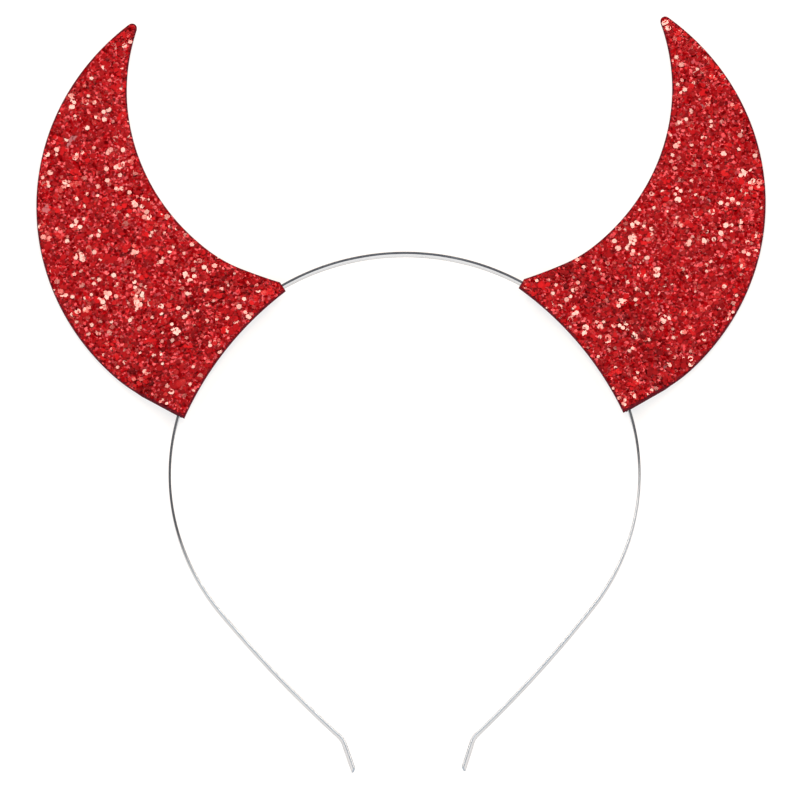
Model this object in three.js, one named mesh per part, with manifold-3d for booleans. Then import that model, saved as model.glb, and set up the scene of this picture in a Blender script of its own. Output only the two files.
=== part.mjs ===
// Devil horn headband: two glitter leatherette horns glued round a flat spring steel strip.
// It lies on its back: X runs from horn to horn, Y from the strip's ends to the horn tips, Z up.
// Sizes are in millimetres. Plan coordinates are measured from the centre of the strip's arch.
import * as THREE from 'three';
import { mergeVertices } from 'three/addons/utils/BufferGeometryUtils.js';
import Module from 'manifold-3d';

// Steel strip: it stands on its edge, so its thickness shows in plan and its depth is along Z.
const STRIP_THICKNESS = 0.6;
const STRIP_DEPTH = 3;
const ARCH_RADIUS = 61;
const ARCH_HALF_ANGLE = 127.3;
const ARM_RADIUS = 325;
const ARM_ANGLE = 8.2;
const END_BEND_RADIUS = 5;
const END_BEND_ANGLE = 28;
const END_LENGTH = 7.6;

// Horn leaves: an outline of three arcs, two straight cuts and a rounded tip. The back leaf has the
// same outline, trimmed a little smaller so that it doesn't show from the front.
const LEAF_THICKNESS = 1;
const GLUE_GAP = 0.3;
const OUTER_EDGE = { x: 30.15, y: 75.49, radius: 64.91 };
const INNER_EDGE = { x: 13.61, y: 107.49, radius: 57.57 };
const BASE_EDGE = { x: -24.74, y: -19.34, radius: 88.96 };
const TIP_RADIUS = 1.25;
// Directions from the arch's centre to where each cut leaves the base and where it meets its edge.
const UPPER_CUT = { baseAngle: 59, edgeAngle: 59 };
const LOWER_CUT = { baseAngle: 15.35, edgeAngle: 17.6 };
const NO_TRIM = { side: 0, base: 0, cutAngle: 0 };
const BACK_TRIM = { side: 0.5, base: 1.4, cutAngle: 1.4 };

// Section of the front leaf across the strip: it lies flat on the strip's edge from its base to just
// past the strip, then bends gently down to the back leaf.
const SHELF_PAST_STRIP = 0.35;
const BEND_RADIUS = 30;
const SECTION_INNER_RADIUS = 50;
const SECTION_OUTER_RADIUS = 152;

// Fineness of the facets.
const EDGE_STEP = 2.2;
const LEAST_ARC_STEPS = 6;
const ARM_STEPS = 12;
const BEND_STEPS = 5;
const RING_SEGMENTS = 120;

const STEEL_LOOK = { color: 0xc9ccd0, roughness: 0.2, metalness: 1 };
const GLITTER_LOOK = { color: 0xac2528, roughness: 0.45, metalness: 0.35 };

const wasm = await Module();
wasm.setup();

const { degToRad, radToDeg } = THREE.MathUtils;

/** Walks a chain of lines and arcs, left turns positive, and gives each point with its left normal. */
function walkChain(start, headingDegrees, chain) {
  let heading = degToRad(headingDegrees);
  const point = start.clone();
  const leftNormal = () => new THREE.Vector2(-Math.sin(heading), Math.cos(heading));
  const stations = [{ point: point.clone(), normal: leftNormal() }];
  for (const { length, radius, turn, steps = 1 } of chain) {
    const turnStep = degToRad(turn ?? 0) / steps;
    const chord = radius ? 2 * radius * Math.sin(Math.abs(turnStep) / 2) : length / steps;
    for (let step = 0; step < steps; step += 1) {
      const direction = heading + turnStep / 2;
      point.x += chord * Math.cos(direction);
      point.y += chord * Math.sin(direction);
      heading += turnStep;
      stations.push({ point: point.clone(), normal: leftNormal() });
    }
  }
  return stations;
}

/** Closed outline of a band of constant thickness along the stations of a chain. */
function thicken(stations, thickness) {
  const half = thickness / 2;
  const right = stations.map(({ point, normal }) => point.clone().addScaledVector(normal, -half));
  const left = stations.map(({ point, normal }) => point.clone().addScaledVector(normal, half));
  return [...right, ...left.reverse()];
}

/** Number of facets that keeps an arc's steps near the edge step. */
function arcSteps(radius, sweep) {
  return Math.max(LEAST_ARC_STEPS, Math.ceil((radius * Math.abs(sweep)) / EDGE_STEP));
}

/** Points along an edge circle from one point on it to another, the short way round. */
function edgeArc(circle, from, to) {
  const startAngle = Math.atan2(from.y - circle.y, from.x - circle.x);
  const endAngle = Math.atan2(to.y - circle.y, to.x - circle.x);
  const sweep = Math.atan2(Math.sin(endAngle - startAngle), Math.cos(endAngle - startAngle));
  const steps = arcSteps(circle.radius, sweep);
  return Array.from({ length: steps }, (_, step) => {
    const angle = startAngle + (sweep * step) / steps;
    return new THREE.Vector2(
      circle.x + circle.radius * Math.cos(angle),
      circle.y + circle.radius * Math.sin(angle),
    );
  });
}

/** Where a ray from the arch's centre crosses an edge circle: the near or the far crossing. */
function rayCrossing(circle, angleDegrees, far) {
  const ray = new THREE.Vector2(Math.cos(degToRad(angleDegrees)), Math.sin(degToRad(angleDegrees)));
  const along = ray.x * circle.x + ray.y * circle.y;
  const half = Math.sqrt(along ** 2 - circle.x ** 2 - circle.y ** 2 + circle.radius ** 2);
  return ray.multiplyScalar(far ? along + half : along - half);
}

/** Small circle that rounds the tip: inside the outer edge's circle and outside the inner edge's. */
function tipCircle(outer, inner) {
  const outerReach = outer.radius - TIP_RADIUS;
  const innerReach = inner.radius + TIP_RADIUS;
  const across = new THREE.Vector2(inner.x - outer.x, inner.y - outer.y);
  const distance = across.length();
  const along = (outerReach ** 2 - innerReach ** 2 + distance ** 2) / (2 * distance);
  const height = Math.sqrt(outerReach ** 2 - along ** 2);
  across.normalize();
  return {
    x: outer.x + across.x * along + across.y * height,
    y: outer.y + across.y * along - across.x * height,
    radius: TIP_RADIUS,
  };
}

/** Point where the tip circle touches an edge circle, on the ray through both centres. */
function tipTouch(edge, tip, sign) {
  const ray = new THREE.Vector2(tip.x - edge.x, tip.y - edge.y).normalize();
  return new THREE.Vector2(tip.x, tip.y).addScaledVector(ray, sign * tip.radius);
}

/** Outline of a leaf of the right horn, anticlockwise from the upper end of its base. */
function hornOutline(trim) {
  const outer = { ...OUTER_EDGE, radius: OUTER_EDGE.radius - trim.side };
  const inner = { ...INNER_EDGE, radius: INNER_EDGE.radius + trim.side };
  const base = { ...BASE_EDGE, radius: BASE_EDGE.radius + trim.base };
  const tip = tipCircle(outer, inner);
  const baseUpper = rayCrossing(base, UPPER_CUT.baseAngle - trim.cutAngle, true);
  const baseLower = rayCrossing(base, LOWER_CUT.baseAngle + trim.cutAngle, true);
  const outerStart = rayCrossing(outer, LOWER_CUT.edgeAngle + trim.cutAngle, true);
  const innerEnd = rayCrossing(inner, UPPER_CUT.edgeAngle - trim.cutAngle, false);
  const tipOuter = tipTouch(outer, tip, 1);
  const tipInner = tipTouch(inner, tip, -1);
  return [
    ...edgeArc(base, baseUpper, baseLower),
    baseLower,
    ...edgeArc(outer, outerStart, tipOuter),
    ...edgeArc(tip, tipOuter, tipInner),
    ...edgeArc(inner, tipInner, innerEnd),
    innerEnd,
  ];
}

/** The same outline on the other side of the headband, still anticlockwise. */
function mirrored(outline) {
  return outline.map(({ x, y }) => new THREE.Vector2(-x, y)).reverse();
}

/** Upright prism on an outline between two heights. */
function prism(outline, bottom, top) {
  const shape = new THREE.Shape(outline);
  const geometry = new THREE.ExtrudeGeometry(shape, { depth: top - bottom, bevelEnabled: false });
  return geometry.translate(0, 0, bottom);
}

/** Closed solid of a geometry, for cutting. */
function toSolid(geometry) {
  const bare = geometry.clone().deleteAttribute('normal').deleteAttribute('uv');
  const merged = mergeVertices(bare);
  const vertProperties = new Float32Array(merged.attributes.position.array);
  const triVerts = new Uint32Array(merged.index.array);
  return new wasm.Manifold(new wasm.Mesh({ numProp: 3, vertProperties, triVerts }));
}

/** Geometry of a cut solid. */
function toGeometry(solid) {
  const { vertProperties, triVerts } = solid.getMesh();
  const geometry = new THREE.BufferGeometry();
  geometry.setAttribute('position', new THREE.BufferAttribute(vertProperties, 3));
  geometry.setIndex(new THREE.BufferAttribute(triVerts, 1));
  geometry.computeVertexNormals();
  return geometry;
}

/** Strip: arch, arms and out-turned ends, the same on both sides, extruded through its depth. */
function stripGeometry() {
  const rightHalf = walkChain(new THREE.Vector2(0, ARCH_RADIUS), 0, [
    { radius: ARCH_RADIUS, turn: -ARCH_HALF_ANGLE, steps: arcSteps(ARCH_RADIUS, degToRad(ARCH_HALF_ANGLE)) },
    { radius: ARM_RADIUS, turn: -ARM_ANGLE, steps: ARM_STEPS },
    { radius: END_BEND_RADIUS, turn: END_BEND_ANGLE, steps: BEND_STEPS },
    { length: END_LENGTH },
  ]);
  const leftHalf = rightHalf.slice(1).reverse().map(({ point, normal }) => ({
    point: new THREE.Vector2(-point.x, point.y),
    normal: new THREE.Vector2(-normal.x, normal.y),
  }));
  const bottom = LEAF_THICKNESS + GLUE_GAP;
  return prism(thicken([...leftHalf, ...rightHalf], STRIP_THICKNESS), bottom, bottom + STRIP_DEPTH);
}

/** Section of the front leaf across the strip: flat over the strip's edge, then gently down. */
function bentSection() {
  const drop = STRIP_DEPTH + GLUE_GAP;
  const shelfMiddle = LEAF_THICKNESS + GLUE_GAP + drop + LEAF_THICKNESS / 2;
  const shelfEnd = ARCH_RADIUS + SHELF_PAST_STRIP;
  const bendAngle = radToDeg(Math.acos(1 - drop / (2 * BEND_RADIUS)));
  const bendRun = 2 * BEND_RADIUS * Math.sin(degToRad(bendAngle));
  const bend = { radius: BEND_RADIUS, steps: BEND_STEPS };
  const stations = walkChain(new THREE.Vector2(SECTION_INNER_RADIUS, shelfMiddle), 0, [
    { length: shelfEnd - SECTION_INNER_RADIUS },
    { ...bend, turn: -bendAngle },
    { ...bend, turn: bendAngle },
    { length: SECTION_OUTER_RADIUS - shelfEnd - bendRun },
  ]);
  return thicken(stations, LEAF_THICKNESS);
}

/** Front leaf: the bent section turned about the arch's centre, cut to the horn's outline. */
function frontLeafGeometry(outline) {
  const section = bentSection();
  const ring = new THREE.LatheGeometry([...section, section[0]], RING_SEGMENTS).rotateX(Math.PI / 2);
  const hornThickness = 2 * (LEAF_THICKNESS + GLUE_GAP) + STRIP_DEPTH;
  const cutter = prism(outline, 0, 2 * hornThickness);
  return toGeometry(toSolid(ring).intersect(toSolid(cutter)));
}

/** Named piece with its own material. */
function namedMesh(name, geometry, look) {
  const mesh = new THREE.Mesh(geometry, new THREE.MeshStandardMaterial({ ...look, name }));
  mesh.name = name;
  return mesh;
}

const headband = new THREE.Group();
headband.name = 'devil_horn_headband';
headband.add(namedMesh('band', stripGeometry(), STEEL_LOOK));

for (const [side, turned] of [['left', mirrored], ['right', (outline) => outline]]) {
  const backOutline = turned(hornOutline(BACK_TRIM));
  const frontOutline = turned(hornOutline(NO_TRIM));
  const horn = new THREE.Group();
  horn.name = `horn_${side}`;
  horn.add(namedMesh(`horn_${side}_back`, prism(backOutline, 0, LEAF_THICKNESS), GLITTER_LOOK));
  horn.add(namedMesh(`horn_${side}_front`, frontLeafGeometry(frontOutline), GLITTER_LOOK));
  headband.add(horn);
}

// The origin is under the middle of the whole outline.
const middle = new THREE.Box3().setFromObject(headband).getCenter(new THREE.Vector3());
headband.position.set(-middle.x, -middle.y, 0);

export default headband;
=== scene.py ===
"""Looks of a devil horn headband: a flat sprung steel strip with two glitter leatherette horns.

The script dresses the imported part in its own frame. Plan sizes are millimetres from the centre of
the strip's arch, heights are millimetres above the floor, and both turn to metres in a mesh.
"""

import logging
import math
from collections.abc import Mapping, Sequence
from dataclasses import dataclass, field, replace
from enum import Enum
from itertools import product

import bpy
import numpy as np
from mathutils import Matrix, Vector
from mathutils.geometry import delaunay_2d_cdt


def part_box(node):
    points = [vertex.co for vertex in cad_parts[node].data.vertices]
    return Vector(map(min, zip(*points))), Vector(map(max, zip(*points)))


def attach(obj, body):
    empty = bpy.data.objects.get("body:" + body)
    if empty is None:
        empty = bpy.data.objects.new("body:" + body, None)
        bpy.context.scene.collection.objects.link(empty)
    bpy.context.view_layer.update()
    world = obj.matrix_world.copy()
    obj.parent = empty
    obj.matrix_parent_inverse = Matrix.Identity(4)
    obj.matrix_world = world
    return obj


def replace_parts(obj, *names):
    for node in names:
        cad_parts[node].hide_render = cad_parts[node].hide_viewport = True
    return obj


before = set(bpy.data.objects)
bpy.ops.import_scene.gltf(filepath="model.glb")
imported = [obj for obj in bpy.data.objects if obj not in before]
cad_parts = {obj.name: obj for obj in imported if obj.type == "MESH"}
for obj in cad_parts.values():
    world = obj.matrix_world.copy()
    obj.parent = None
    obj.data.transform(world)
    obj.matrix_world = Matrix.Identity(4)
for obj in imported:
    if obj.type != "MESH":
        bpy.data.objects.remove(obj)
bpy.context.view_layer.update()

MM = 0.001
ROOT_BODY = "root"

# Names of mesh data that the materials read, and the name of the flakes' UV map.
STRIP_PLACE = "strip_place_mm"
FLAKE_TONE = "flake_tone"
FLAKE_HAZE = "flake_haze"
EXPORT_MAP = "OFBake"

# Curve of the sRGB standard.
SRGB_KNEE = 0.04045
SRGB_SLOPE = 12.92
SRGB_OFFSET = 0.055
SRGB_POWER = 2.4

LEAST_ARC_STEPS = 6
TRIANGLES_INSIDE = 1
CDT_EPSILON = 1e-6
SMOOTH_BELOW_DEG = 35.0

LOG = logging.getLogger("headband")


class Side(Enum):
    """Side of the headband that a horn stands on."""

    LEFT = "left"
    RIGHT = "right"

    @property
    def sign(self) -> float:
        """Sign of X on this side."""
        return -1.0 if self is Side.LEFT else 1.0


class Face(Enum):
    """Leaf of a horn: the one that looks up, or the one that lies on the floor."""

    FRONT = "front"
    BACK = "back"

    @property
    def sign(self) -> float:
        """Sign of Z on the leaf's glitter side."""
        return 1.0 if self is Face.FRONT else -1.0


def linear(hex_code: str) -> tuple[float, float, float, float]:
    """Turns an sRGB hex colour into linear channels.

    Args:
        hex_code: Colour as #rrggbb.

    Returns:
        Linear red, green and blue, with an alpha of one.
    """
    channels = [int(hex_code[place:place + 2], 16) / 255 for place in (1, 3, 5)]
    red, green, blue = (
        value / SRGB_SLOPE if value <= SRGB_KNEE
        else ((value + SRGB_OFFSET) / (1 + SRGB_OFFSET)) ** SRGB_POWER
        for value in channels
    )
    return red, green, blue, 1.0


def add_node(
    tree: bpy.types.NodeTree,
    kind: str,
    inputs: Mapping[str | int, object] | None = None,
    settings: Mapping[str, object] | None = None,
    stops: Sequence[tuple[float, str]] = (),
) -> bpy.types.Node:
    """Adds a node with its settings, its values and the links that feed it.

    Args:
        tree: Node tree that takes the node.
        kind: Blender's name of the node type.
        inputs: For each input socket, a value, or the output socket that feeds it.
        settings: Value of each property to set.
        stops: Places and hex colours of a colour ramp.

    Returns:
        The new node.
    """
    node = tree.nodes.new(kind)
    for name, value in (settings or {}).items():
        setattr(node, name, value)
    for name, value in (inputs or {}).items():
        if isinstance(value, bpy.types.NodeSocket):
            tree.links.new(value, node.inputs[name])
        else:
            node.inputs[name].default_value = value
    for index, (place, colour) in enumerate(stops):
        elements = node.color_ramp.elements
        element = elements[index] if index < len(elements) else elements.new(place)
        element.position = place
        element.color = linear(colour)
    return node


def new_material(name: str) -> tuple[bpy.types.Material, bpy.types.NodeTree]:
    """Adds a material with an empty node tree.

    Args:
        name: Name of the real material.

    Returns:
        The material and its tree.
    """
    material = bpy.data.materials.new(name)
    material.use_nodes = True
    material.node_tree.nodes.clear()
    return material, material.node_tree


@dataclass(frozen=True)
class PlatedSpringSteel:
    """Nickel-plated spring steel: rolled to a bright strip, then plated.

    The eye gets a near mirror that takes the white of the room, faint lines along the strip from
    the rolls, duller patches where the nickel is thin, and painted shade along the top and bottom
    border of each face, which stands in for the shadow under the strip that the edges reflect.
    """

    bright: str = "#f0f2f4"
    dull: str = "#e6e8eb"
    # Painted shade: colour of the darker border along the top and bottom of each face.
    border: str = "#808387"
    # Nickel reflects less than its bright colour at a slant, just before the light glances off.
    slanting: str = "#d0d0d0"
    polished: float = 0.14
    worn: float = 0.32
    # Share of the nickel's thickness where it starts to dull, looks bright and is polished. The
    # colour reads it less the painted edge shade.
    dull_at: float = 0.35
    bright_at: float = 0.6
    polished_at: float = 0.65
    patch_mm: float = 14.0
    patch_detail: float = 3.0
    # Width of the painted shade along each border, and how far it pulls the colour down.
    edge_shade_mm: float = 0.6
    edge_shade_share: float = 0.7
    # Real roll lines lie about 0.05 mm apart. They are drawn coarser, so that they show.
    roll_line_mm: float = 0.3
    roll_line_length_mm: float = 30.0
    roll_line_depth_mm: float = 0.004
    roll_line_detail: float = 2.0
    roll_line_strength: float = 0.5

    def material(self, strip_depth_mm: float) -> bpy.types.Material:
        """Builds the material of the strip's broad faces.

        Args:
            strip_depth_mm: Depth of the strip, which places the borders of painted shade.

        Returns:
            Material whose patterns follow the strip.
        """
        material, tree = new_material("nickel_plated_spring_steel")
        place = add_node(tree, "ShaderNodeAttribute", settings={"attribute_name": STRIP_PLACE})
        patches = add_node(
            tree, "ShaderNodeTexNoise",
            {"Vector": place.outputs["Vector"], "Scale": 1 / self.patch_mm, "Detail": self.patch_detail},
        )
        drawn_out = add_node(
            tree, "ShaderNodeVectorMath",
            {
                0: place.outputs["Vector"],
                1: (1 / self.roll_line_length_mm, 1 / self.roll_line_mm, 1 / self.roll_line_mm),
            },
            {"operation": "MULTIPLY"},
        )
        lines = add_node(
            tree, "ShaderNodeTexNoise",
            {"Vector": drawn_out.outputs["Vector"], "Scale": 1.0, "Detail": self.roll_line_detail},
        )
        axes = add_node(tree, "ShaderNodeSeparateXYZ", {"Vector": place.outputs["Vector"]})
        height = add_node(tree, "ShaderNodeMath", {0: axes.outputs["Y"]}, {"operation": "ABSOLUTE"})
        # Painted shade: darkens the colour towards the top and bottom of each face.
        border = add_node(
            tree, "ShaderNodeMapRange",
            {
                "Value": height.outputs["Value"], "From Min": strip_depth_mm / 2 - self.edge_shade_mm,
                "From Max": strip_depth_mm / 2, "To Max": self.edge_shade_share,
            },
        )
        plate_and_edge_shade = add_node(
            tree, "ShaderNodeMath", {0: patches.outputs["Fac"], 1: border.outputs["Result"]},
            {"operation": "SUBTRACT"},
        )
        colour = add_node(
            tree, "ShaderNodeValToRGB", {"Fac": plate_and_edge_shade.outputs["Value"]},
            stops=((0.0, self.border), (self.dull_at, self.dull), (self.bright_at, self.bright)),
        )
        roughness = add_node(
            tree, "ShaderNodeMapRange",
            {
                "Value": patches.outputs["Fac"], "From Min": self.dull_at, "From Max": self.polished_at,
                "To Min": self.worn, "To Max": self.polished,
            },
        )
        bump = add_node(
            tree, "ShaderNodeBump",
            {
                "Height": lines.outputs["Fac"], "Strength": self.roll_line_strength,
                "Distance": self.roll_line_depth_mm * MM,
            },
        )
        shader = add_node(
            tree, "ShaderNodeBsdfPrincipled",
            {
                "Base Color": colour.outputs["Color"], "Metallic": 1.0,
                "Specular Tint": linear(self.slanting),
                "Roughness": roughness.outputs["Result"], "Normal": bump.outputs["Normal"],
            },
        )
        add_node(tree, "ShaderNodeOutputMaterial", {"Surface": shader.outputs["BSDF"]})
        return material


@dataclass(frozen=True)
class SlitSteelEdge:
    """Slit edge of the strip, cut from a wider coil by shearing.

    Its colour is painted reflection: a dark grey matt line round the arch stands in for the dim room
    that the edge reflects there, and a lighter colour on the arms stands in for their brighter
    reflections. Small flecks vary it at random.
    """

    # Painted reflection: dark on the arch, and lighter on the arms.
    dark_reflection: str = "#444a52"
    bright_reflection: str = "#a2aeb9"
    matt: float = 0.55
    smooth: float = 0.45
    fleck_mm: float = 9.0
    fleck_detail: float = 3.0
    fleck_share: float = 0.4
    # Place and run of the change from the painted dark reflection on the arch to the painted bright
    # reflection on the arms. Its line slants across the plan, since the light falls unevenly on the two
    # arms.
    reflection_below_mm: float = -47.0
    reflection_run_mm: float = 20.0
    reflection_slant: float = 0.17

    def material(self) -> bpy.types.Material:
        """Builds the material of the strip's narrow edges.

        Returns:
            Material whose painted reflection brightens towards the strip's ends.
        """
        material, tree = new_material("slit_spring_steel_edge")
        place = add_node(tree, "ShaderNodeTexCoord")
        flecks = add_node(
            tree, "ShaderNodeTexNoise",
            {
                "Vector": place.outputs["Object"], "Scale": 1 / (self.fleck_mm * MM),
                "Detail": self.fleck_detail,
            },
        )
        axes = add_node(tree, "ShaderNodeSeparateXYZ", {"Vector": place.outputs["Object"]})
        slanted = add_node(
            tree, "ShaderNodeMath", {0: axes.outputs["X"], 1: -self.reflection_slant, 2: axes.outputs["Y"]},
            {"operation": "MULTIPLY_ADD"},
        )
        # Painted reflection: share of the arms' brighter reflection, from the arch towards each end.
        bright_reflection = add_node(
            tree, "ShaderNodeMapRange",
            {
                "Value": slanted.outputs["Value"],
                "From Min": (self.reflection_below_mm + self.reflection_run_mm) * MM,
                "From Max": self.reflection_below_mm * MM,
            },
        )
        flecks_and_reflection = add_node(
            tree, "ShaderNodeMath",
            {0: flecks.outputs["Fac"], 1: self.fleck_share, 2: bright_reflection.outputs["Result"]},
            {"operation": "MULTIPLY_ADD"},
        )
        colour = add_node(
            tree, "ShaderNodeValToRGB", {"Fac": flecks_and_reflection.outputs["Value"]},
            stops=((self.fleck_share / 2, self.dark_reflection), (1.0, self.bright_reflection)),
        )
        roughness = add_node(
            tree, "ShaderNodeMapRange",
            {"Value": flecks_and_reflection.outputs["Value"], "To Min": self.matt, "To Max": self.smooth},
        )
        shader = add_node(
            tree, "ShaderNodeBsdfPrincipled",
            {
                "Base Color": colour.outputs["Color"], "Metallic": 1.0,
                "Roughness": roughness.outputs["Result"],
            },
        )
        add_node(tree, "ShaderNodeOutputMaterial", {"Surface": shader.outputs["BSDF"]})
        return material


@dataclass(frozen=True)
class MetallisedGlitter:
    """Metallised PET glitter: red foil under a clear film, cut to hexagons.

    The eye gets small deep red plates. Their film takes the lamps without a tint, so those that face
    a lamp flash cream. The depth of the foil and the haze of the film differ from flake to flake.
    """

    # The fine cut has the tones up to 0.7, and the coarse cuts have those from 0.8.
    tones: tuple[tuple[float, str], ...] = (
        (0.0, "#600002"),
        (0.2, "#740308"),
        (0.38, "#870b12"),
        (0.5, "#962128"),
        (0.6, "#a73c44"),
        (0.7, "#b9545b"),
        (0.8, "#6c0308"),
        (0.94, "#80060c"),
        (1.0, "#94090f"),
    )
    foil_roughness: float = 0.5
    film_roughness: float = 0.1

    def material(self) -> bpy.types.Material:
        """Builds the material of the flakes.

        Returns:
            Material that reads each flake's own tone and haze.
        """
        material, tree = new_material("red_metallised_pet_glitter")
        tone = add_node(tree, "ShaderNodeAttribute", settings={"attribute_name": FLAKE_TONE})
        haze = add_node(tree, "ShaderNodeAttribute", settings={"attribute_name": FLAKE_HAZE})
        colour = add_node(tree, "ShaderNodeValToRGB", {"Fac": tone.outputs["Fac"]}, stops=self.tones)
        clearness = add_node(
            tree, "ShaderNodeMapRange", {"Value": haze.outputs["Fac"], "To Min": 1.0, "To Max": 0.0},
        )
        shader = add_node(
            tree, "ShaderNodeBsdfPrincipled",
            {
                "Base Color": colour.outputs["Color"], "Metallic": 1.0, "Roughness": self.foil_roughness,
                "Coat Weight": clearness.outputs["Result"], "Coat Roughness": self.film_roughness,
            },
        )
        add_node(tree, "ShaderNodeOutputMaterial", {"Surface": shader.outputs["BSDF"]})
        return material


@dataclass(frozen=True)
class GlitterBed:
    """Polyurethane coat of the leatherette: red resin full of fine glitter dust.

    The eye gets a deep red ground with small lighter and darker grains, seen between the flakes.
    """

    tones: tuple[tuple[float, str], ...] = (
        (0.0, "#460206"),
        (0.5, "#6e0409"),
        (0.85, "#880d14"),
        (1.0, "#a82028"),
    )
    # Real dust is about 0.1 mm across. It is drawn coarser, so that it shows.
    dust_mm: float = 0.4
    roughness: float = 0.5
    metallic: float = 0.85
    grain_height_mm: float = 0.06
    grain_strength: float = 0.8

    def material(self) -> bpy.types.Material:
        """Builds the material of the coat under the flakes.

        Returns:
            Material with a grain of the dust's size.
        """
        material, tree = new_material("glitter_dust_polyurethane")
        place = add_node(tree, "ShaderNodeTexCoord")
        grains = add_node(
            tree, "ShaderNodeTexVoronoi",
            {"Vector": place.outputs["Object"], "Scale": 1 / (self.dust_mm * MM)},
        )
        shade = add_node(tree, "ShaderNodeSeparateColor", {"Color": grains.outputs["Color"]})
        colour = add_node(tree, "ShaderNodeValToRGB", {"Fac": shade.outputs["Red"]}, stops=self.tones)
        bump = add_node(
            tree, "ShaderNodeBump",
            {
                "Height": shade.outputs["Green"], "Strength": self.grain_strength,
                "Distance": self.grain_height_mm * MM,
            },
        )
        shader = add_node(
            tree, "ShaderNodeBsdfPrincipled",
            {
                "Base Color": colour.outputs["Color"], "Metallic": self.metallic,
                "Roughness": self.roughness, "Normal": bump.outputs["Normal"],
            },
        )
        add_node(tree, "ShaderNodeOutputMaterial", {"Surface": shader.outputs["BSDF"]})
        return material


@dataclass(frozen=True)
class CutBacking:
    """Knitted polyester backing of the leatherette, where the die has cut through it.

    The eye gets a thin matt line, maroon to nearly black, with the fuzz of short fibres.
    """

    deep: str = "#34040e"
    worn: str = "#640e1d"
    deep_at: float = 0.35
    worn_at: float = 0.7
    roughness: float = 0.9
    shine: float = 0.1
    # Real fibres are about 0.02 mm thick. They are drawn coarser, so that they show.
    fibre_mm: float = 0.35
    fibre_detail: float = 4.0
    fibre_height_mm: float = 0.08
    fibre_strength: float = 0.7

    def material(self) -> bpy.types.Material:
        """Builds the material of the leaves' edges.

        Returns:
            Material with a fibre grain.
        """
        material, tree = new_material("cut_polyester_backing")
        place = add_node(tree, "ShaderNodeTexCoord")
        fibres = add_node(
            tree, "ShaderNodeTexNoise",
            {
                "Vector": place.outputs["Object"], "Scale": 1 / (self.fibre_mm * MM),
                "Detail": self.fibre_detail,
            },
        )
        colour = add_node(
            tree, "ShaderNodeValToRGB", {"Fac": fibres.outputs["Fac"]},
            stops=((self.deep_at, self.deep), (self.worn_at, self.worn)),
        )
        bump = add_node(
            tree, "ShaderNodeBump",
            {
                "Height": fibres.outputs["Fac"], "Strength": self.fibre_strength,
                "Distance": self.fibre_height_mm * MM,
            },
        )
        shader = add_node(
            tree, "ShaderNodeBsdfPrincipled",
            {
                "Base Color": colour.outputs["Color"], "Roughness": self.roughness,
                "Specular IOR Level": self.shine, "Normal": bump.outputs["Normal"],
            },
        )
        add_node(tree, "ShaderNodeOutputMaterial", {"Surface": shader.outputs["BSDF"]})
        return material


@dataclass(frozen=True)
class OpalAcrylic:
    """Opal acrylic sheet with a light box under it: plain white, with hardly any shadow on it."""

    # The sheet lets through most of the light that falls on it, so its own colour is grey.
    colour: str = "#959595"
    light: str = "#ffffff"
    light_from_below: float = 0.66
    roughness: float = 0.9
    shine: float = 0.0

    def material(self) -> bpy.types.Material:
        """Builds the material of the floor.

        Returns:
            Matt material that gives its own white light.
        """
        material, tree = new_material("opal_acrylic")
        shader = add_node(
            tree, "ShaderNodeBsdfPrincipled",
            {
                "Base Color": linear(self.colour), "Roughness": self.roughness,
                "Specular IOR Level": self.shine,
                "Emission Color": linear(self.light), "Emission Strength": self.light_from_below,
            },
        )
        add_node(tree, "ShaderNodeOutputMaterial", {"Surface": shader.outputs["BSDF"]})
        return material


@dataclass(frozen=True)
class Stretch:
    """Part of a chain with an even bend: an arc, or a straight line where it has no turn."""

    length: float
    turn_deg: float = 0.0

    @classmethod
    def arc(cls, radius: float, turn_deg: float) -> "Stretch":
        """Arc of that radius, with left turns positive."""
        return cls(radius * math.radians(abs(turn_deg)), turn_deg)


def walk(
    start: tuple[float, float], stretches: Sequence[Stretch], step: float,
) -> tuple[np.ndarray, np.ndarray]:
    """Follows a chain of stretches that sets out along the first axis.

    Args:
        start: First point.
        stretches: Parts of the chain in order.
        step: Longest distance between points.

    Returns:
        Points and their left normals, one row each.
    """
    point = np.array(start, float)
    heading = 0.0
    points = [point]
    headings = [heading]
    for stretch in stretches:
        count = max(LEAST_ARC_STEPS, math.ceil(stretch.length / step))
        turn = math.radians(stretch.turn_deg) / count
        chord = stretch.length / count * float(np.sinc(turn / (2 * math.pi)))
        for _ in range(count):
            direction = heading + turn / 2
            point = point + chord * np.array((math.cos(direction), math.sin(direction)))
            heading += turn
            points.append(point)
            headings.append(heading)
    normals = np.column_stack((-np.sin(headings), np.cos(headings)))
    return np.array(points), normals


def path_lengths(points: np.ndarray) -> np.ndarray:
    """Length of a path from its first point to each of its points."""
    return np.append(0.0, np.cumsum(np.linalg.norm(np.diff(points, axis=0), axis=1)))


def add_piece(
    name: str, mesh: bpy.types.Mesh, materials: Sequence[bpy.types.Material],
) -> bpy.types.Object:
    """Adds a mesh to the scene as a piece that rides on the part.

    Args:
        name: Name of the piece.
        mesh: Its mesh, in metres in the part's frame.
        materials: Materials in the order that the mesh's faces number them.

    Returns:
        The new object.
    """
    for material in materials:
        mesh.materials.append(material)
    piece = bpy.data.objects.new(name, mesh)
    bpy.context.scene.collection.objects.link(piece)
    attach(piece, ROOT_BODY)
    return piece


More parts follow.
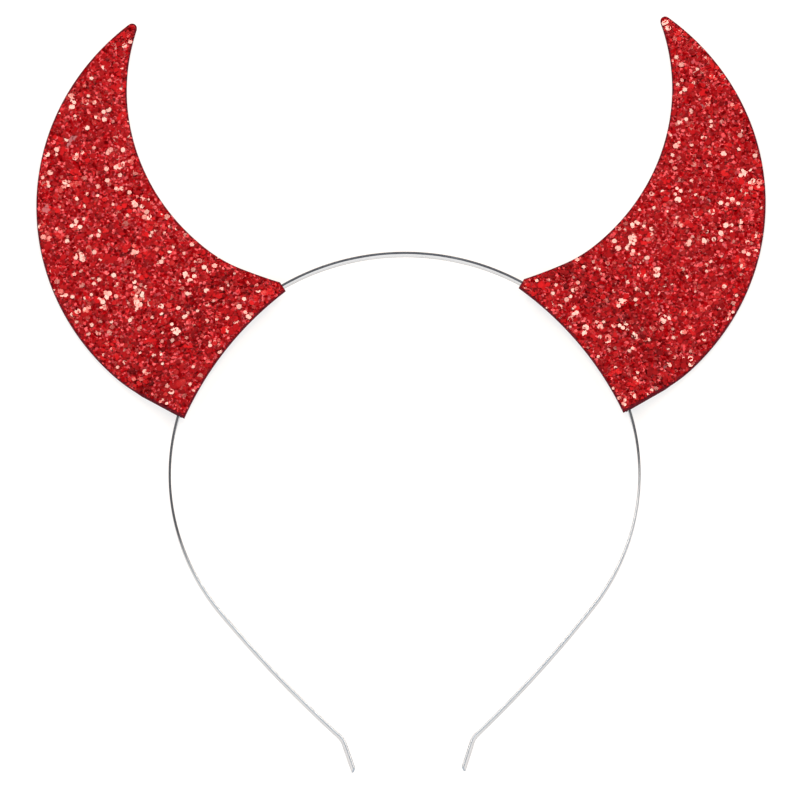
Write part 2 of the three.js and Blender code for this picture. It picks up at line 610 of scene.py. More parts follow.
@dataclass
class SpringStrip:
    """Sprung steel strip that stands on its edge: an arch, two arms and two out-turned, twisted ends."""

    thickness: float = 0.6
    depth: float = 3.0
    arch_radius: float = 61.0
    arch_half_deg: float = 127.3
    arm_radius: float = 325.0
    arm_deg: float = 8.2
    end_bend_radius: float = 5.0
    end_bend_deg: float = 28.0
    end_length: float = 7.6
    end_twist_deg: float = 10.0
    twist_length: float = 11.0
    twist_run: float = 4.0
    corner_radius: float = 0.25
    corner_steps: int = 4
    step: float = 0.9
    faces: PlatedSpringSteel = field(default_factory=PlatedSpringSteel)
    edges: SlitSteelEdge = field(default_factory=SlitSteelEdge)

    @property
    def arch_centre(self) -> np.ndarray:
        """Place of the arch's centre in the part's frame, from the CAD strip's top."""
        _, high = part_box("band")
        return np.array((0.0, high.y / MM - self.arch_radius - self.thickness / 2))

    def route(self) -> tuple[np.ndarray, np.ndarray]:
        """Follows the strip from its left end to its right end.

        Returns:
            Points of its middle line and their normals, one row each.
        """
        right, normals = walk(
            (0.0, self.arch_radius),
            (
                Stretch.arc(self.arch_radius, -self.arch_half_deg),
                Stretch.arc(self.arm_radius, -self.arm_deg),
                Stretch.arc(self.end_bend_radius, self.end_bend_deg),
                Stretch(self.end_length),
            ),
            self.step,
        )
        mirror = np.array((-1.0, 1.0))
        points = np.vstack((right[:0:-1] * mirror, right))
        return points, np.vstack((normals[:0:-1] * mirror, normals))

    def section(self) -> np.ndarray:
        """Draws the strip's section, a rectangle with softened corners.

        Returns:
            Offsets across and up from the middle, anticlockwise, one row each.
        """
        reach = np.array((self.thickness, self.depth)) / 2 - self.corner_radius
        corners = ((1, 1), (-1, 1), (-1, -1), (1, -1))
        rows = []
        for quarter, corner in enumerate(corners):
            for step in range(self.corner_steps + 1):
                angle = math.pi / 2 * (quarter + step / self.corner_steps)
                ray = np.array((math.cos(angle), math.sin(angle)))
                rows.append(reach * corner + self.corner_radius * ray)
        return np.array(rows)

    def twist(self, points: np.ndarray) -> np.ndarray:
        """Turns the strip's top inwards towards each end, where its outer face looks up a little.

        Args:
            points: Points of the middle line, one row each.

        Returns:
            Turn of the section at each point, in radians.
        """
        along = path_lengths(points)
        from_end = np.minimum(along, along[-1] - along)
        share = np.clip((self.twist_length - from_end) / self.twist_run, 0.0, 1.0)
        return math.radians(self.end_twist_deg) * share

    def build(self) -> bpy.types.Object:
        """Sweeps the section along the route, closes the ends and dresses the strip.

        Returns:
            The strip's piece.
        """
        low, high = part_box("band")
        middle = (low.z + high.z) / 2 / MM
        points, normals = self.route()
        section = self.section()
        rings, sides = len(points), len(section)
        twist = self.twist(points)[:, None]
        across = section[:, 0] * np.cos(twist) - section[:, 1] * np.sin(twist)
        heights = middle + section[:, 1] * np.cos(twist) + section[:, 0] * np.sin(twist)
        plan = points[:, None, :] + normals[:, None, :] * across[..., None] + self.arch_centre
        places = np.dstack((plan, heights)).reshape(-1, 3) * MM
        last = (rings - 1) * sides
        faces = [
            (ring + side, ring + follow, ring + sides + follow, ring + sides + side)
            for ring in range(0, last, sides)
            for side, follow in zip(range(sides), [*range(1, sides), 0])
        ]
        faces.append(tuple(reversed(range(sides))))
        faces.append(tuple(range(last, last + sides)))
        mesh = bpy.data.meshes.new("spring_strip")
        mesh.from_pydata(places.tolist(), [], faces)
        self._mark(mesh, points, section)
        materials = (self.faces.material(self.depth), self.edges.material())
        piece = add_piece("spring_strip", mesh, materials)
        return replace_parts(piece, "band")

    def _mark(self, mesh: bpy.types.Mesh, points: np.ndarray, section: np.ndarray) -> None:
        """Sets the strip's shading, its faces' materials and the places that its patterns follow.

        Args:
            mesh: Mesh of the strip.
            points: Points of the middle line.
            section: Offsets of the section.
        """
        rings, sides = len(points), len(section)
        broad = np.isclose(np.abs(section[:, 0]), self.thickness / 2)
        is_edge = ~(broad & np.roll(broad, -1))
        edge_faces = np.append(np.tile(is_edge, rings - 1), (True, True))
        mesh.polygons.foreach_set("material_index", edge_faces.astype(np.int32))
        mesh.polygons.foreach_set("use_smooth", np.ones(len(mesh.polygons), bool))
        mesh.set_sharp_from_angle(angle=math.radians(SMOOTH_BELOW_DEG))
        place = np.zeros((rings, sides, 3), np.float32)
        place[..., 0] = path_lengths(points)[:, None]
        place[..., 1:] = section[None, :, ::-1]
        mesh.attributes.new(STRIP_PLACE, "FLOAT_VECTOR", "POINT").data.foreach_set("vector", place.ravel())


@dataclass(frozen=True)
class EdgeCircle:
    """Circle that one edge of the horn follows."""

    x: float
    y: float
    radius: float

    @property
    def centre(self) -> np.ndarray:
        """Centre as a pair."""
        return np.array((self.x, self.y))

    def distance(self, points: np.ndarray) -> np.ndarray:
        """Distance of points from the centre."""
        return np.hypot(points[:, 0] - self.x, points[:, 1] - self.y)

    def crossing(self, angle_deg: float, far: bool) -> np.ndarray:
        """Finds where a ray from the arch's centre crosses the circle.

        Args:
            angle_deg: Direction of the ray.
            far: True for the second crossing.

        Returns:
            The crossing.
        """
        ray = np.array((math.cos(math.radians(angle_deg)), math.sin(math.radians(angle_deg))))
        along = float(ray @ self.centre)
        half = math.sqrt(along**2 - float(self.centre @ self.centre) + self.radius**2)
        return ray * (along + half if far else along - half)

    def arc(self, start: np.ndarray, end: np.ndarray, step: float) -> np.ndarray:
        """Draws the arc between two points on the circle, the short way round.

        Args:
            start: First point, which is kept.
            end: Last point, which is left to the next edge.
            step: Longest distance between points.

        Returns:
            Points of the arc, one row each.
        """
        first, last = (math.atan2(*(point - self.centre)[::-1]) for point in (start, end))
        sweep = math.remainder(last - first, 2 * math.pi)
        count = max(LEAST_ARC_STEPS, math.ceil(self.radius * abs(sweep) / step))
        angles = first + sweep * np.arange(count) / count
        return self.centre + self.radius * np.column_stack((np.cos(angles), np.sin(angles)))


def left_of(start: np.ndarray, end: np.ndarray, points: np.ndarray) -> np.ndarray:
    """Distance of points to the left of the line from one point to another."""
    ahead = (end - start) / np.linalg.norm(end - start)
    return (points - start) @ np.array((-ahead[1], ahead[0]))


@dataclass(frozen=True)
class HornOutline:
    """Die-cut outline of the right horn: three arcs, two straight cuts and a rounded tip."""

    outer: EdgeCircle = EdgeCircle(30.15, 75.49, 64.91)
    inner: EdgeCircle = EdgeCircle(13.61, 107.49, 57.57)
    base: EdgeCircle = EdgeCircle(-24.74, -19.34, 88.96)
    tip_radius: float = 1.25
    # Directions from the arch's centre to where each cut leaves the base and where it meets its edge.
    upper_cut_deg: tuple[float, float] = (59.0, 59.0)
    lower_cut_deg: tuple[float, float] = (15.35, 17.6)
    step: float = 0.5

    def trimmed(self, side: float, base: float, cut_deg: float) -> "HornOutline":
        """Draws the outline in a little.

        Args:
            side: How far the two long edges move in.
            base: How far the base moves in.
            cut_deg: Angle that each straight cut turns in.

        Returns:
            The smaller outline.
        """
        return replace(
            self,
            outer=replace(self.outer, radius=self.outer.radius - side),
            inner=replace(self.inner, radius=self.inner.radius + side),
            base=replace(self.base, radius=self.base.radius + base),
            upper_cut_deg=tuple(angle - cut_deg for angle in self.upper_cut_deg),
            lower_cut_deg=tuple(angle + cut_deg for angle in self.lower_cut_deg),
        )

    def upper_cut(self) -> tuple[np.ndarray, np.ndarray]:
        """Gives the ends of the upper cut, on the base and on the inner edge."""
        at_base, at_edge = self.upper_cut_deg
        return self.base.crossing(at_base, far=True), self.inner.crossing(at_edge, far=False)

    def lower_cut(self) -> tuple[np.ndarray, np.ndarray]:
        """Gives the ends of the lower cut, on the base and on the outer edge."""
        at_base, at_edge = self.lower_cut_deg
        return self.base.crossing(at_base, far=True), self.outer.crossing(at_edge, far=True)

    def tip(self) -> EdgeCircle:
        """Places the small circle that rounds the tip.

        Returns:
            Circle that touches the outer edge from inside and the inner edge from outside.
        """
        outer_reach = self.outer.radius - self.tip_radius
        inner_reach = self.inner.radius + self.tip_radius
        across = self.inner.centre - self.outer.centre
        distance = float(np.linalg.norm(across))
        across = across / distance
        along = (outer_reach**2 - inner_reach**2 + distance**2) / (2 * distance)
        height = math.sqrt(outer_reach**2 - along**2)
        x, y = self.outer.centre + across * along + np.array((across[1], -across[0])) * height
        return EdgeCircle(float(x), float(y), self.tip_radius)

    def tip_rays(self) -> tuple[np.ndarray, np.ndarray]:
        """Gives the directions from the tip circle's centre to the outer and inner edges.

        Returns:
            Two unit vectors.
        """
        tip = self.tip().centre
        outward = (tip - self.outer.centre) / np.linalg.norm(tip - self.outer.centre)
        inward = (self.inner.centre - tip) / np.linalg.norm(self.inner.centre - tip)
        return outward, inward

    def loop(self) -> np.ndarray:
        """Draws the outline anticlockwise from the upper end of its base.

        Returns:
            Points, one row each.
        """
        tip = self.tip()
        outer_touch, inner_touch = (tip.centre + self.tip_radius * ray for ray in self.tip_rays())
        base_high, inner_end = self.upper_cut()
        base_low, outer_start = self.lower_cut()
        return np.vstack((
            self.base.arc(base_high, base_low, self.step),
            base_low,
            self.outer.arc(outer_start, outer_touch, self.step),
            tip.arc(outer_touch, inner_touch, self.step),
            self.inner.arc(inner_touch, inner_end, self.step),
            inner_end,
        ))

    def room(self, points: np.ndarray) -> np.ndarray:
        """Measures how far points lie inside the outline.

        Args:
            points: Plan points, one row each.

        Returns:
            Distance to the nearest edge, negative outside.
        """
        base_high, inner_end = self.upper_cut()
        base_low, outer_start = self.lower_cut()
        tip = self.tip()
        ahead = (points - tip.centre) @ sum(self.tip_rays()) > 0
        by_upper_cut = np.linalg.norm(points, axis=1) < np.linalg.norm(inner_end)
        return np.min(
            (
                self.outer.radius - self.outer.distance(points),
                self.inner.distance(points) - self.inner.radius,
                self.base.distance(points) - self.base.radius,
                np.where(by_upper_cut, left_of(inner_end, base_high, points), np.inf),
                left_of(base_low, outer_start, points),
                np.where(ahead, tip.radius - tip.distance(points), np.inf),
            ),
            axis=0,
        )


def inset(loop: np.ndarray, distance: float) -> np.ndarray:
    """Moves an anticlockwise loop inwards by an even distance.

    Args:
        loop: Points of the loop, one row each.
        distance: How far it moves.

    Returns:
        Points of the smaller loop.
    """
    ahead = np.roll(loop, -1, axis=0) - loop
    ahead = ahead / np.linalg.norm(ahead, axis=1, keepdims=True)
    normals = np.column_stack((-ahead[:, 1], ahead[:, 0]))
    before = np.roll(normals, 1, axis=0)
    joined = (normals + before) / (1 + np.sum(normals * before, axis=1, keepdims=True))
    return loop + distance * joined


def triangulate(plan: np.ndarray, border: int) -> list[tuple[int, ...]]:
    """Joins plan points to triangles inside their border.

    Args:
        plan: Plan points, one row each, with those of the border first.
        border: Number of points on the border.

    Returns:
        Corner numbers of each triangle.
    """
    corners = [Vector(point) for point in plan.tolist()]
    edges = [(index, (index + 1) % border) for index in range(border)]
    made = delaunay_2d_cdt(corners, edges, [], TRIANGLES_INSIDE, CDT_EPSILON)
    _, _, triangles, origins, _, _ = made
    return [tuple(origins[corner][0] for corner in triangle) for triangle in triangles]


@dataclass(frozen=True)
class BentSection:
    """Section of a front leaf across the strip: flat on the strip's edge, then gently down."""

    arch_radius: float
    strip_depth: float
    leaf: float = 1.0
    glue_gap: float = 0.3
    shelf_past_strip: float = 0.35
    bend_radius: float = 30.0
    inner_reach: float = 50.0
    outer_reach: float = 152.0
    step: float = 0.4

    def line(self, offset: float) -> np.ndarray:
        """Draws the section's line at an offset above the middle of the leaf.

        Args:
            offset: Distance above the leaf's middle line.

        Returns:
            Distances from the arch's centre and heights, one row each.
        """
        drop = self.strip_depth + self.glue_gap
        bend_deg = math.degrees(math.acos(1 - drop / (2 * self.bend_radius)))
        bend_run = 2 * self.bend_radius * math.sin(math.radians(bend_deg))
        shelf_end = self.arch_radius + self.shelf_past_strip
        points, normals = walk(
            (self.inner_reach, self.leaf + self.glue_gap + drop + self.leaf / 2),
            (
                Stretch(shelf_end - self.inner_reach),
                Stretch.arc(self.bend_radius, -bend_deg),
                Stretch.arc(self.bend_radius, bend_deg),
                Stretch(self.outer_reach - shelf_end - bend_run),
            ),
            self.step,
        )
        return points + offset * normals

    def height(self, plan: np.ndarray, offset: float) -> np.ndarray:
        """Reads the leaf's height at plan points.

        Args:
            plan: Plan points, one row each.
            offset: Distance above the leaf's middle line.

        Returns:
            Height of each point.
        """
        line = self.line(offset)
        return np.interp(np.hypot(plan[:, 0], plan[:, 1]), line[:, 0], line[:, 1])


@dataclass(frozen=True)
class EdgeRow:
    """One ring of a leaf's edge: how far in it lies, and how far under the face."""

    inset: float
    depth: float


@dataclass
class HornLeaf:
    """One leaf of a horn: leatherette with a soft cut edge, ready for its coat of flakes."""

    side: Side
    face: Face
    bed: bpy.types.Material
    backing: bpy.types.Material
    outline: HornOutline
    section: BentSection
    # Place of the arch's centre in the part's frame.
    arch_centre: np.ndarray
    # Room that the flakes take from the leaf's thickness.
    flake_room: float = 0.25
    # Each leaf is drawn this much thicker inside the horn, so that the glued seam is closed.
    seam_fill: float = 0.14
    glitter_edge: tuple[EdgeRow, ...] = (EdgeRow(0.45, 0.0), EdgeRow(0.06, 0.03), EdgeRow(0.0, 0.12))
    glued_edge: tuple[EdgeRow, ...] = (EdgeRow(0.0, 0.06), EdgeRow(0.06, 0.0), EdgeRow(0.45, 0.0))
    fine_reach: tuple[float, float] = (56.5, 81.0)
    fine_step: float = 1.0
    coarse_step: float = 2.5
    angle_step_deg: float = 1.2
    grid_margin: float = 0.7

    @property
    def node(self) -> str:
        """Name of the CAD node that the leaf stands for."""
        return f"horn_{self.side.value}_{self.face.value}"

    def placed(self, places: np.ndarray) -> np.ndarray:
        """Moves points of the right horn to this leaf's own side in the part's frame, in metres."""
        mirror = np.array((self.side.sign, 1.0, 1.0))
        return (places * mirror + np.append(self.arch_centre, 0.0)) * MM

    def glitter_height(self, plan: np.ndarray) -> np.ndarray:
        """Reads the height of the coated face.

        Args:
            plan: Plan points of the right horn, one row each.

        Returns:
            Height of the bed that the flakes lie on.
        """
        if self.face is Face.FRONT:
            return self.section.height(plan, self.section.leaf / 2) - self.flake_room
        return np.full(len(plan), self.flake_room)

    def glued_height(self, plan: np.ndarray) -> np.ndarray:
        """Reads the height of the face that is glued to the other leaf.

        Args:
            plan: Plan points of the right horn, one row each.

        Returns:
            Height of the inner face.
        """
        if self.face is Face.FRONT:
            return self.section.height(plan, -self.section.leaf / 2) - self.seam_fill
        return np.full(len(plan), self.section.leaf + self.seam_fill)

    def grid(self) -> np.ndarray:
        """Spreads points over the leaf, closely where the front leaf bends over the strip.

        Returns:
            Plan points inside the outline, one row each.
        """
        near, far = self.fine_reach
        reaches = np.concatenate((
            np.arange(near, far, self.fine_step),
            np.arange(far, self.section.outer_reach, self.coarse_step),
        ))
        first, last = min(self.outline.lower_cut_deg), max(self.outline.upper_cut_deg)
        angles = np.radians(np.arange(first, last, self.angle_step_deg))
        reach, angle = (values.ravel() for values in np.meshgrid(reaches, angles))
        points = np.column_stack((reach * np.cos(angle), reach * np.sin(angle)))
        return points[self.outline.room(points) > self.grid_margin]

    def build(self) -> bpy.types.Object:
        """Makes the leaf as one closed mesh and dresses it.

        Returns:
            The leaf's piece.
        """
        loop = self.outline.loop()
        border = len(loop)
        plan = np.vstack((inset(loop, self.glitter_edge[0].inset), self.grid()))
        sheet = triangulate(plan, border)
        places = [np.column_stack((plan, self.glitter_height(plan)))]
        rings = [np.arange(border)]
        total = len(plan)
        rows = [(row, self.glitter_height, -self.face.sign) for row in self.glitter_edge[1:]]
        rows += [(row, self.glued_height, self.face.sign) for row in self.glued_edge[:-1]]
        for row, height, inwards in rows:
            ring = inset(loop, row.inset)
            places.append(np.column_stack((ring, height(ring) + inwards * row.depth)))
            rings.append(total + np.arange(border))
            total += border
        places.append(np.column_stack((plan, self.glued_height(plan))))
        rings.append(total + np.arange(border))
        faces = [*sheet]
        for upper, lower in zip(rings[:-1], rings[1:]):
            faces += list(zip(upper, lower, np.roll(lower, -1), np.roll(upper, -1)))
        faces += [tuple(total + corner for corner in reversed(triangle)) for triangle in sheet]
        if self.side.sign * self.face.sign < 0:
            faces = [tuple(reversed(turned)) for turned in faces]
        piece = self._piece(np.vstack(places), faces, len(sheet))
        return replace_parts(piece, self.node)

    def _piece(
        self, places: np.ndarray, faces: list[tuple[int, ...]], coated: int,
    ) -> bpy.types.Object:
        """Turns the leaf's points and faces into a piece on its own side of the headband.

        Args:
            places: Points of the right horn, one row each.
            faces: Corners of each face, with the coated faces first.
            coated: How many faces have the glitter coat.

        Returns:
            The leaf's piece.
        """
        name = f"{self.side.value}_{self.face.value}_leaf"
        mesh = bpy.data.meshes.new(name)
        mesh.from_pydata(
            self.placed(places).tolist(), [], [tuple(map(int, corners)) for corners in faces],
        )
        is_backing = np.arange(len(faces)) >= coated
        mesh.polygons.foreach_set("material_index", is_backing.astype(np.int32))
        mesh.polygons.foreach_set("use_smooth", np.ones(len(faces), bool))
        mesh.set_sharp_from_angle(angle=math.radians(SMOOTH_BELOW_DEG))
        return add_piece(name, mesh, (self.bed, self.backing))


@dataclass(frozen=True)
class FlakeKind:
    """One cut of glitter: how many flakes a leaf has, their size, how they lie and their finish.

    Flakes in a clump lie close together and lean nearly the same way, so they flash as one.
    """

    count: int
    radius: float
    spread: float
    tilt_deg: float
    lift: tuple[float, float]
    tone: tuple[float, float]
    haze: tuple[float, float]
    clump: int = 1
    clump_reach: float = 0.0
    clump_jitter: float = 0.0


@dataclass(frozen=True)
class GlitterCoat:
    """Hexagon flakes laid over one leaf, each sunk by its heel in the bed and tilted a little.

    Some flakes stop at the rim, where the cut has pulled the coat off. Others hold on up to the cut.
    """

    leaf: HornLeaf
    material: bpy.types.Material
    kinds: tuple[FlakeKind, ...]
    seed: int
    # Width of the bare rim, gap that the flakes there keep from the cut, and share of the flakes that
    # hold on there. A flake that the die would cut to less than the last share of its size is left out.
    rim: float = 0.4
    cut_gap: float = 0.04
    holding: float = 0.45
    least_cut: float = 0.4
    # Largest deviation of a flake's size, in standard deviations.
    widest: float = 2.0
    # Depth of a flake's heel, and how much deeper it is for each millimetre of the flake's radius.
    heel: float = 0.3
    wave_deg: float = 3.0
    wave_length: float = 24.0
    uneven: float = 0.1
    sides: int = 6
    # Distance on each side of a flake over which the leaf's slope is read.
    probe: float = 0.1
    # Reach of a flake in its own cell of the UV map, as a share of the cell.
    map_reach: float = 0.4

    @property
    def count(self) -> int:
        """Number of flakes in the coat."""
        return sum(kind.count for kind in self.kinds)

    def places(
        self, rng: np.random.Generator, kind: FlakeKind,
    ) -> tuple[np.ndarray, np.ndarray, np.ndarray]:
        """Draws the places, sizes and tilts of one cut of flakes. The die cuts those at the edge smaller.

        Args:
            rng: Source of random numbers.
            kind: Cut of the flakes.

        Returns:
            Plan points and tilts by chance, one row each, and radii.
        """
        outline = self.leaf.outline
        loop = outline.loop()
        low, high = loop.min(axis=0), loop.max(axis=0)
        points, tilts, radii = np.empty((0, 2)), np.empty((0, 2)), np.empty(0)
        while len(points) < kind.count:
            clumps = math.ceil(kind.count / kind.clump)
            middles = np.repeat(rng.uniform(low, high, (clumps, 2)), kind.clump, axis=0)
            leans = np.repeat(rng.standard_normal((clumps, 2)), kind.clump, axis=0)
            drawn = middles + kind.clump_reach * rng.standard_normal(middles.shape)
            lean = leans + kind.clump_jitter * rng.standard_normal(leans.shape)
            deviation = np.clip(rng.standard_normal(len(drawn)), -self.widest, self.widest)
            whole = kind.radius * np.exp(kind.spread * deviation)
            margin = np.where(rng.random(len(drawn)) < self.holding, self.cut_gap, self.rim)
            size = np.minimum(whole, outline.room(drawn) - margin)
            fits = size > self.least_cut * whole
            points = np.vstack((points, drawn[fits]))
            tilts = np.vstack((tilts, math.radians(kind.tilt_deg) * lean[fits]))
            radii = np.append(radii, size[fits])
        return points[:kind.count], tilts[:kind.count], radii[:kind.count]

    def normals(
        self, rng: np.random.Generator, tilts: np.ndarray, points: np.ndarray,
    ) -> np.ndarray:
        """Tilts the flakes away from the leaf's own slope, by chance and by slow waves in the coat.

        Args:
            rng: Source of random numbers.
            tilts: Tilt of each flake by chance, one row each.
            points: Plan points, one row each.

        Returns:
            Unit normals, one row each, that point away from the leaf.
        """
        leaf = self.leaf
        slopes = []
        for step in self.probe * np.eye(2):
            rise = leaf.glitter_height(points + step) - leaf.glitter_height(points - step)
            slopes.append(rise / (2 * self.probe))
        slope = np.column_stack(slopes)
        phase = rng.uniform(0, 2 * math.pi, (2, 2))
        turns = 2 * math.pi * points / self.wave_length
        wave = np.column_stack([
            np.sin(turns[:, 0] + start[0]) * np.cos(turns[:, 1] + start[1]) for start in phase
        ])
        lean = tilts + math.radians(self.wave_deg) * wave - slope * leaf.face.sign
        normals = np.column_stack((lean, np.full(len(points), leaf.face.sign)))
        return normals / np.linalg.norm(normals, axis=1, keepdims=True)

    def chips(self, rng: np.random.Generator, kind: FlakeKind) -> np.ndarray:
        """Shapes one cut of flakes as hexagons, each with a heel under its middle.

        Args:
            rng: Source of random numbers.
            kind: Cut of the flakes.

        Returns:
            For each flake of the right horn, its rim points and its heel.
        """
        points, tilts, radii = self.places(rng, kind)
        normals = self.normals(rng, tilts, points)
        lift = rng.uniform(*kind.lift, kind.count)
        heights = self.leaf.glitter_height(points) + self.leaf.face.sign * lift
        centres = np.column_stack((points, heights))
        first = np.cross(normals, rng.standard_normal((kind.count, 3)))
        first = first / np.linalg.norm(first, axis=1, keepdims=True)
        second = np.cross(normals, first)
        angles = 2 * math.pi * np.arange(self.sides) / self.sides
        reach = radii[:, None] * rng.uniform(1 - self.uneven, 1.0, (kind.count, self.sides))
        rim = (
            centres[:, None, :]
            + (reach * np.cos(angles))[..., None] * first[:, None, :]
            + (reach * np.sin(angles))[..., None] * second[:, None, :]
        )
        heels = centres - normals * (self.heel + self.heel * radii)[:, None]
        return np.concatenate((rim, heels[:, None, :]), axis=1)

    def build(self) -> bpy.types.Object:
        """Makes all the flakes as one mesh of closed hexagon chips.

        Returns:
            The coat's piece.
        """
        rng = np.random.default_rng(self.seed)
        places = np.concatenate([self.chips(rng, kind) for kind in self.kinds])
        return self._piece(self.leaf.placed(places), rng)

    def _piece(self, places: np.ndarray, rng: np.random.Generator) -> bpy.types.Object:
        """Turns the chips' points into a mesh with each flake's tone, haze and place on a UV map.

        Args:
            places: Rim points and heel of each flake, in metres.
            rng: Source of random numbers.

        Returns:
            The coat's piece.
        """
        heel = self.sides
        rim = list(range(self.sides))
        follow = [*rim[1:], rim[0]]
        chip = [rim, *([after, before, heel] for before, after in zip(rim, follow))]
        if self.leaf.side is Side.LEFT:
            chip = [corners[::-1] for corners in chip]
        corners = np.concatenate(chip)
        sizes = np.array([len(face) for face in chip])
        starts = np.append(0, np.cumsum(sizes)[:-1])
        step = np.arange(self.count)[:, None]
        name = f"{self.leaf.side.value}_{self.leaf.face.value}_glitter"
        mesh = bpy.data.meshes.new(name)
        mesh.vertices.add(self.count * (self.sides + 1))
        mesh.vertices.foreach_set("co", places.astype(np.float32).ravel())
        mesh.loops.add(self.count * len(corners))
        mesh.loops.foreach_set("vertex_index", (corners + step * (self.sides + 1)).astype(np.int32).ravel())
        mesh.polygons.add(self.count * len(chip))
        mesh.polygons.foreach_set("loop_start", (starts + step * len(corners)).astype(np.int32).ravel())
        mesh.update(calc_edges=True)
        mesh.shade_flat()
        for attribute, ranges in (
            (FLAKE_TONE, [kind.tone for kind in self.kinds]),
            (FLAKE_HAZE, [kind.haze for kind in self.kinds]),
        ):
            drawn = [rng.uniform(*span, kind.count) for span, kind in zip(ranges, self.kinds)]
            values = np.repeat(np.concatenate(drawn), len(chip)).astype(np.float32)
            mesh.attributes.new(attribute, "FLOAT", "FACE").data.foreach_set("value", values)
        self._map(mesh, corners)
        mesh.validate()
        return add_piece(name, mesh, (self.material,))

    def _map(self, mesh: bpy.types.Mesh, corners: np.ndarray) -> None:
        """Gives each flake a cell of its own on a UV map.

        Args:
            mesh: Mesh of the flakes.
            corners: Corner numbers of one chip's faces in order.
        """
        columns = math.ceil(math.sqrt(self.count))
        angles = 2 * math.pi * np.arange(self.sides) / self.sides
        middle = np.array((0.5, 0.5))
        rim = middle + self.map_reach * np.column_stack((np.cos(angles), np.sin(angles)))
        cell = np.vstack((rim, middle))
        order = np.arange(self.count)
        origin = np.column_stack((order % columns, order // columns))
        places = (origin[:, None, :] + cell[corners][None, :, :]) / columns
        layer = mesh.uv_layers.new(name=EXPORT_MAP)
        layer.uv.foreach_set("vector", places.astype(np.float32).ravel())


@dataclass(frozen=True)
class Lamp:
    """Round lamp: where it stands from the object, how wide it is and how bright it looks.

    Unless it is told otherwise, it is one of the small warm ones.
    """

    name: str
    azimuth_deg: float
    elevation_deg: float
    distance_m: float = 1.2
    width_m: float = 0.24
    radiance: float = 24.0
    colour: str = "#ffe6d2"

    def build(self) -> bpy.types.Object:
        """Hangs the lamp so that it faces the object.

        Returns:
            The lamp's object.
        """
        data = bpy.data.lights.new(self.name, "AREA")
        data.shape = "DISK"
        data.size = self.width_m
        area = math.pi * (self.width_m / 2) ** 2
        data.energy = self.radiance * math.pi * area
        data.color = linear(self.colour)[:3]
        lamp = bpy.data.objects.new(self.name, data)
        lamp.visible_camera = False
        back = view_direction(self.azimuth_deg, self.elevation_deg)
        lamp.location = back * self.distance_m
        lamp.rotation_mode = "QUATERNION"
        lamp.rotation_quaternion = back.to_track_quat("Z", "Y")
        bpy.context.scene.collection.objects.link(lamp)
        return lamp


def view_direction(azimuth_deg: float, elevation_deg: float) -> Vector:
    """Direction from the object to a viewer. At azimuth 0 the viewer looks along +Y."""
    azimuth, elevation = math.radians(azimuth_deg), math.radians(elevation_deg)
    flat = math.cos(elevation)
    return Vector((math.sin(azimuth) * flat, -math.cos(azimuth) * flat, math.sin(elevation)))


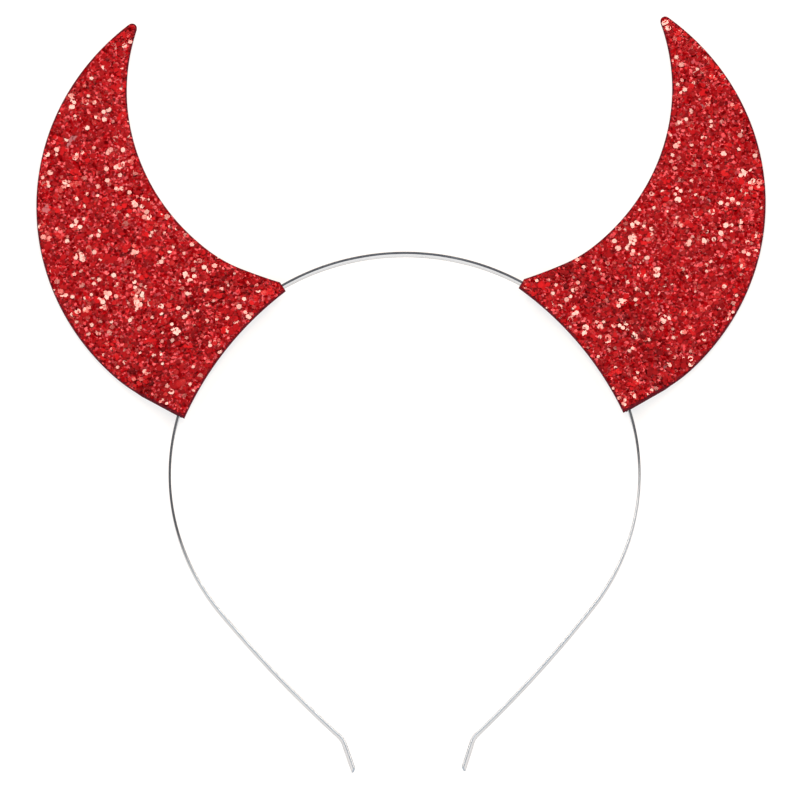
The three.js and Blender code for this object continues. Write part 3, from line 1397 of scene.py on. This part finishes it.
@dataclass
class Studio:
    """Light table in a dim room, soft boxes, small warm lamps for the glitter, and the photograph's view."""

    table: OpalAcrylic = field(default_factory=OpalAcrylic)
    table_width_m: float = 12.0
    table_drop_m: float = 0.0002
    room_colour: str = "#ffffff"
    room_strength: float = 0.2
    lamps: tuple[Lamp, ...] = (
        Lamp("lamp_zenith", 0.0, 88.0),
        Lamp("lamp_far", 180.0, 50.0),
        Lamp("lamp_far_left", 215.0, 62.0),
        Lamp("lamp_far_right", 145.0, 62.0),
        Lamp("lamp_low_left", 214.0, 38.0),
        Lamp("lamp_low_right", 146.0, 38.0),
        Lamp("softbox_near", 0.0, 40.0, distance_m=1.6, width_m=1.4, radiance=4.1, colour="#ffffff"),
        Lamp("softbox_left", -70.0, 38.0, distance_m=1.6, width_m=0.8, radiance=4.0, colour="#ffffff"),
        Lamp("softbox_right", 70.0, 38.0, distance_m=1.6, width_m=0.8, radiance=4.0, colour="#ffffff"),
    )
    view_azimuth_deg: float = 0.0
    view_elevation_deg: float = 70.0
    view_roll_deg: float = 0.76
    # Middle of the picture on the object, and the width of the picture there.
    aim_mm: tuple[float, float, float] = (-0.94, -1.73, 2.0)
    picture_width_mm: float = 208.0
    # A long lens gives the photograph's nearly parallel view.
    lens_mm: float = 1300.0
    sensor_mm: float = 36.0

    def build(self) -> None:
        """Sets up the table, lights the room and sets the camera."""
        self._set_table()
        self._light()
        self._set_camera()

    def _set_table(self) -> None:
        """Sets the table's flat top just under the object."""
        half = self.table_width_m / 2
        level = -self.table_drop_m
        mesh = bpy.data.meshes.new("table_top")
        corners = [(-half, -half, level), (half, -half, level), (half, half, level), (-half, half, level)]
        mesh.from_pydata(corners, [], [(0, 1, 2, 3)])
        mesh.materials.append(self.table.material())
        floor = bpy.data.objects.new("table_top", mesh)
        bpy.context.scene.collection.objects.link(floor)

    def _light(self) -> None:
        """Makes the room evenly dim and hangs the lamps."""
        world = bpy.data.worlds.new("dim_room")
        world.use_nodes = True
        world.node_tree.nodes.clear()
        glow = add_node(
            world.node_tree, "ShaderNodeBackground",
            {"Color": linear(self.room_colour), "Strength": self.room_strength},
        )
        add_node(world.node_tree, "ShaderNodeOutputWorld", {"Surface": glow.outputs["Background"]})
        bpy.context.scene.world = world
        for lamp in self.lamps:
            lamp.build()

    def _set_camera(self) -> None:
        """Puts the camera at the photograph's angle, with its small roll, and plain colours."""
        back = view_direction(self.view_azimuth_deg, self.view_elevation_deg)
        level = Vector((0.0, 0.0, 1.0)).cross(back).normalized()
        upright = back.cross(level)
        roll = math.radians(self.view_roll_deg)
        right = level * math.cos(roll) - upright * math.sin(roll)
        up = level * math.sin(roll) + upright * math.cos(roll)
        data = bpy.data.cameras.new("camera")
        data.lens = self.lens_mm
        data.sensor_width = self.sensor_mm
        distance = self.picture_width_mm * MM * self.lens_mm / self.sensor_mm
        data.clip_end = 2 * distance
        place = Vector(self.aim_mm) * MM + back * distance
        camera = bpy.data.objects.new("camera", data)
        turn = Matrix((right, up, back)).transposed().to_4x4()
        camera.matrix_world = Matrix.Translation(place) @ turn
        scene = bpy.context.scene
        scene.collection.objects.link(camera)
        scene.camera = camera
        scene.view_settings.view_transform = "Standard"
        scene.view_settings.look = "None"


@dataclass
class Headband:
    """The whole headband: the strip and the two horns, each of two leaves with their flakes."""

    strip: SpringStrip = field(default_factory=SpringStrip)
    glitter: MetallisedGlitter = field(default_factory=MetallisedGlitter)
    bed: GlitterBed = field(default_factory=GlitterBed)
    backing: CutBacking = field(default_factory=CutBacking)
    outline: HornOutline = field(default_factory=HornOutline)
    # The back leaf is cut smaller than the front one, so that it doesn't show from the front.
    back_trim_side: float = 0.5
    back_trim_base: float = 1.4
    back_trim_cut_deg: float = 1.4
    front_kinds: tuple[FlakeKind, ...] = (
        FlakeKind(
            count=12000, radius=0.39, spread=0.3, tilt_deg=13.0,
            lift=(0.0, 0.16), tone=(0.0, 0.7), haze=(0.9, 1.0),
        ),
        FlakeKind(
            count=1250, radius=0.58, spread=0.22, tilt_deg=9.0,
            lift=(0.16, 0.3), tone=(0.8, 0.95), haze=(0.0, 0.3),
        ),
        FlakeKind(
            count=440, radius=0.66, spread=0.2, tilt_deg=9.0,
            lift=(0.2, 0.32), tone=(0.97, 1.0), haze=(0.0, 0.1),
            clump=4, clump_reach=0.75, clump_jitter=0.12,
        ),
    )
    back_kinds: tuple[FlakeKind, ...] = (
        FlakeKind(
            count=9000, radius=0.34, spread=0.3, tilt_deg=5.0,
            lift=(0.0, 0.08), tone=(0.0, 0.7), haze=(0.9, 1.0),
        ),
        FlakeKind(
            count=1200, radius=0.5, spread=0.22, tilt_deg=4.0,
            lift=(0.05, 0.1), tone=(0.8, 1.0), haze=(0.0, 0.3),
        ),
    )
    first_seed: int = 5

    def build(self) -> list[bpy.types.Object]:
        """Builds the strip, the leaves and their coats of flakes in order.

        Returns:
            The pieces.
        """
        pieces = [self.strip.build()]
        centre = self.strip.arch_centre
        section = BentSection(self.strip.arch_radius, self.strip.depth)
        flake_material = self.glitter.material()
        bed, backing = self.bed.material(), self.backing.material()
        for place, (side, face) in enumerate(product(Side, Face)):
            leaf = HornLeaf(side, face, bed, backing, self._outline(face), section, centre)
            coat = self._coat(leaf, flake_material, self.first_seed + place)
            pieces += [leaf.build(), coat.build()]
        return pieces

    def _outline(self, face: Face) -> HornOutline:
        """Chooses the outline of one leaf."""
        if face is Face.FRONT:
            return self.outline
        return self.outline.trimmed(self.back_trim_side, self.back_trim_base, self.back_trim_cut_deg)

    def _coat(self, leaf: HornLeaf, material: bpy.types.Material, seed: int) -> GlitterCoat:
        """Chooses the coat of one leaf: thick in front, and pressed flat where the horn lies on it."""
        kinds = self.front_kinds if leaf.face is Face.FRONT else self.back_kinds
        return GlitterCoat(leaf, material, kinds, seed)


def main() -> None:
    """Builds the studio and the headband, and reports each piece."""
    logging.basicConfig(level=logging.INFO, format="%(name)s %(message)s")
    Studio().build()
    for piece in Headband().build():
        LOG.info("%s: %d faces", piece.name, len(piece.data.polygons))


if __name__ == "__main__":
    main()
